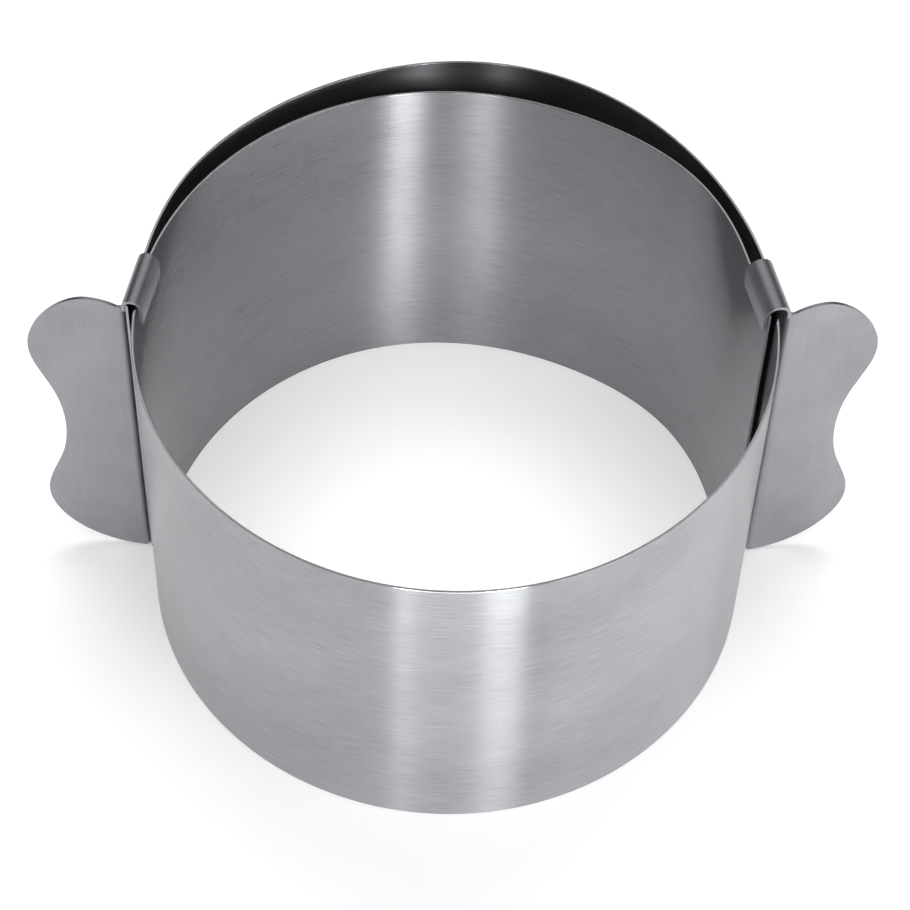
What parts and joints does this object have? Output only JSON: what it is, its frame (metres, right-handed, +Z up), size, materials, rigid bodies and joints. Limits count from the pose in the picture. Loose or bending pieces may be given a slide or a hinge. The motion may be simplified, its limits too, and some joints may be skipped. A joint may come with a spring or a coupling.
{
  "type": "adjustable ring mould",
  "caption": "Open ring mould made of a springy, overlapping steel strip, with folded wing handles that hook over the rim and slide along it to set the diameter.",
  "frame": {"origin": "on the table, under the middle of the outline", "axes": "+X towards the right-hand handle, +Y towards the overlap at the back, +Z up the wall"},
  "size_m": [0.1986, 0.152, 0.1026],
  "materials": {
    "strip": "brushed along the strip",
    "handle": "fine satin"
  },
  "bodies": {
    "front": {"strip_front": "strip"},
    "outer_01": {"strip_outer_01": "strip"},
    "outer_02": {"strip_outer_02": "strip"},
    "outer_03": {"strip_outer_03": "strip"},
    "outer_04": {"strip_outer_04": "strip"},
    "outer_05": {"strip_outer_05": "strip"},
    "outer_06": {"strip_outer_06": "strip"},
    "outer_07": {"strip_outer_07": "strip"},
    "outer_08": {"strip_outer_08": "strip"},
    "outer_09": {"strip_outer_09": "strip"},
    "outer_10": {"strip_outer_10": "strip"},
    "outer_11": {"strip_outer_11": "strip"},
    "outer_12": {"strip_outer_12": "strip"},
    "outer_13": {"strip_outer_13": "strip"},
    "left_end": {"strip_outer_14": "strip", "left_handle": "handle"},
    "inner_01": {"strip_inner_01": "strip"},
    "inner_02": {"strip_inner_02": "strip"},
    "inner_03": {"strip_inner_03": "strip"},
    "inner_04": {"strip_inner_04": "strip"},
    "inner_05": {"strip_inner_05": "strip"},
    "inner_06": {"strip_inner_06": "strip"},
    "inner_07": {"strip_inner_07": "strip"},
    "inner_08": {"strip_inner_08": "strip"},
    "inner_09": {"strip_inner_09": "strip"},
    "inner_10": {"strip_inner_10": "strip"},
    "inner_11": {"strip_inner_11": "strip"},
    "inner_12": {"strip_inner_12": "strip"},
    "inner_13": {"strip_inner_13": "strip"},
    "right_end": {"strip_inner_14": "strip", "right_handle": "handle"}
  },
  "joints": [
    {"name": "ring_size", "type": "hinge", "parent": "front", "child": "outer_01", "pos_m": [0.01291, -0.07452, 0.05], "axis": [0, 0, -1], "range_deg": [-1.25, 3.52]},
    {"name": "bend_outer_02", "type": "hinge", "parent": "outer_01", "child": "outer_02", "pos_m": [0.03603, -0.06629, 0.05], "axis": [0, 0, -1], "range_deg": [-1.04, 2.93]},
    {"name": "bend_outer_03", "type": "hinge", "parent": "outer_02", "child": "outer_03", "pos_m": [0.05519, -0.05097, 0.05], "axis": [0, 0, -1], "range_deg": [-0.86, 2.42]},
    {"name": "bend_outer_04", "type": "hinge", "parent": "outer_03", "child": "outer_04", "pos_m": [0.06823, -0.03018, 0.05], "axis": [0, 0, -1], "range_deg": [-0.73, 2.07]},
    {"name": "bend_outer_05", "type": "hinge", "parent": "outer_04", "child": "outer_05", "pos_m": [0.07351, -0.00622, 0.05], "axis": [0, 0, -1], "range_deg": [-0.69, 1.96]},
    {"name": "bend_outer_06", "type": "hinge", "parent": "outer_05", "child": "outer_06", "pos_m": [0.07072, 0.01817, 0.05], "axis": [0, 0, -1], "range_deg": [-0.75, 2.11]},
    {"name": "bend_outer_07", "type": "hinge", "parent": "outer_06", "child": "outer_07", "pos_m": [0.06072, 0.04061, 0.05], "axis": [0, 0, -1], "range_deg": [-0.85, 2.41]},
    {"name": "bend_outer_08", "type": "hinge", "parent": "outer_07", "child": "outer_08", "pos_m": [0.04472, 0.05925, 0.05], "axis": [0, 0, -1], "range_deg": [-0.95, 2.68]},
    {"name": "bend_outer_09", "type": "hinge", "parent": "outer_08", "child": "outer_09", "pos_m": [0.02366, 0.0718, 0.05], "axis": [0, 0, -1], "range_deg": [-0.98, 2.77]},
    {"name": "bend_outer_10", "type": "hinge", "parent": "outer_09", "child": "outer_10", "pos_m": [-0.00054, 0.07564, 0.05], "axis": [0, 0, -1], "range_deg": [-0.96, 2.71]},
    {"name": "bend_outer_11", "type": "hinge", "parent": "outer_10", "child": "outer_11", "pos_m": [-0.02452, 0.07048, 0.05], "axis": [0, 0, -1], "range_deg": [-0.91, 2.58]},
    {"name": "bend_outer_12", "type": "hinge", "parent": "outer_11", "child": "outer_12", "pos_m": [-0.04581, 0.05822, 0.05], "axis": [0, 0, -1], "range_deg": [-0.88, 2.5]},
    {"name": "bend_outer_13", "type": "hinge", "parent": "outer_12", "child": "outer_13", "pos_m": [-0.06236, 0.04012, 0.05], "axis": [0, 0, -1], "range_deg": [-0.88, 2.48]},
    {"name": "bend_outer_14", "type": "hinge", "parent": "outer_13", "child": "left_end", "pos_m": [-0.07104, 0.01719, 0.05], "axis": [0, 0, -1], "range_deg": [-1.16, 3.27]},
    {"name": "bend_inner_01", "type": "hinge", "parent": "front", "child": "inner_01", "pos_m": [-0.01296, -0.07452, 0.05], "axis": [0, 0, 1], "range_deg": [-1.25, 3.52]},
    {"name": "bend_inner_02", "type": "hinge", "parent": "inner_01", "child": "inner_02", "pos_m": [-0.03459, -0.0671, 0.05], "axis": [0, 0, 1], "range_deg": [-1.07, 3.02]},
    {"name": "bend_inner_03", "type": "hinge", "parent": "inner_02", "child": "inner_03", "pos_m": [-0.05292, -0.05343, 0.05], "axis": [0, 0, 1], "range_deg": [-0.97, 2.74]},
    {"name": "bend_inner_04", "type": "hinge", "parent": "inner_03", "child": "inner_04", "pos_m": [-0.06605, -0.03471, 0.05], "axis": [0, 0, 1], "range_deg": [-0.89, 2.53]},
    {"name": "bend_inner_05", "type": "hinge", "parent": "inner_04", "child": "inner_05", "pos_m": [-0.07238, -0.01275, 0.05], "axis": [0, 0, 1], "range_deg": [-0.87, 2.46]},
    {"name": "bend_inner_06", "type": "hinge", "parent": "inner_05", "child": "inner_06", "pos_m": [-0.07117, 0.01008, 0.05], "axis": [0, 0, 1], "range_deg": [-0.92, 2.59]},
    {"name": "bend_inner_07", "type": "hinge", "parent": "inner_06", "child": "inner_07", "pos_m": [-0.06272, 0.03132, 0.05], "axis": [0, 0, 1], "range_deg": [-1.02, 2.88]},
    {"name": "bend_inner_08", "type": "hinge", "parent": "inner_07", "child": "inner_08", "pos_m": [-0.04795, 0.04878, 0.05], "axis": [0, 0, 1], "range_deg": [-1.14, 3.23]},
    {"name": "bend_inner_09", "type": "hinge", "parent": "inner_08", "child": "inner_09", "pos_m": [-0.02841, 0.06064, 0.05], "axis": [0, 0, 1], "range_deg": [-1.25, 3.52]},
    {"name": "bend_inner_10", "type": "hinge", "parent": "inner_09", "child": "inner_10", "pos_m": [-0.00611, 0.06568, 0.05], "axis": [0, 0, 1], "range_deg": [-1.28, 3.63]},
    {"name": "bend_inner_11", "type": "hinge", "parent": "inner_10", "child": "inner_11", "pos_m": [0.01667, 0.06358, 0.05], "axis": [0, 0, 1], "range_deg": [-1.24, 3.5]},
    {"name": "bend_inner_12", "type": "hinge", "parent": "inner_11", "child": "inner_12", "pos_m": [0.03801, 0.05529, 0.05], "axis": [0, 0, 1], "range_deg": [-1.12, 3.17]},
    {"name": "bend_inner_13", "type": "hinge", "parent": "inner_12", "child": "inner_13", "pos_m": [0.0559, 0.04112, 0.05], "axis": [0, 0, 1], "range_deg": [-0.95, 2.68]},
    {"name": "bend_inner_14", "type": "hinge", "parent": "inner_13", "child": "right_end", "pos_m": [0.06635, 0.02085, 0.05], "axis": [0, 0, 1], "range_deg": [-1.03, 2.91]}
  ],
  "couplings": [
    {"joint": "bend_outer_02", "follows": "ring_size", "ratio": 0.8141},
    {"joint": "bend_outer_03", "follows": "ring_size", "ratio": 0.67229},
    {"joint": "bend_outer_04", "follows": "ring_size", "ratio": 0.5752},
    {"joint": "bend_outer_05", "follows": "ring_size", "ratio": 0.54607},
    {"joint": "bend_outer_06", "follows": "ring_size", "ratio": 0.58838},
    {"joint": "bend_outer_07", "follows": "ring_size", "ratio": 0.6708},
    {"joint": "bend_outer_08", "follows": "ring_size", "ratio": 0.74488},
    {"joint": "bend_outer_09", "follows": "ring_size", "ratio": 0.77176},
    {"joint": "bend_outer_10", "follows": "ring_size", "ratio": 0.75357},
    {"joint": "bend_outer_11", "follows": "ring_size", "ratio": 0.71898},
    {"joint": "bend_outer_12", "follows": "ring_size", "ratio": 0.69488},
    {"joint": "bend_outer_13", "follows": "ring_size", "ratio": 0.68862},
    {"joint": "bend_outer_14", "follows": "ring_size", "ratio": 0.90935},
    {"joint": "bend_inner_01", "follows": "ring_size", "ratio": 0.97883},
    {"joint": "bend_inner_02", "follows": "ring_size", "ratio": 0.83918},
    {"joint": "bend_inner_03", "follows": "ring_size", "ratio": 0.76214},
    {"joint": "bend_inner_04", "follows": "ring_size", "ratio": 0.70355},
    {"joint": "bend_inner_05", "follows": "ring_size", "ratio": 0.68541},
    {"joint": "bend_inner_06", "follows": "ring_size", "ratio": 0.72157},
    {"joint": "bend_inner_07", "follows": "ring_size", "ratio": 0.80209},
    {"joint": "bend_inner_08", "follows": "ring_size", "ratio": 0.89978},
    {"joint": "bend_inner_09", "follows": "ring_size", "ratio": 0.97938},
    {"joint": "bend_inner_10", "follows": "ring_size", "ratio": 1.0087},
    {"joint": "bend_inner_11", "follows": "ring_size", "ratio": 0.97457},
    {"joint": "bend_inner_12", "follows": "ring_size", "ratio": 0.88174},
    {"joint": "bend_inner_13", "follows": "ring_size", "ratio": 0.7462},
    {"joint": "bend_inner_14", "follows": "ring_size", "ratio": 0.80972}
  ]
}
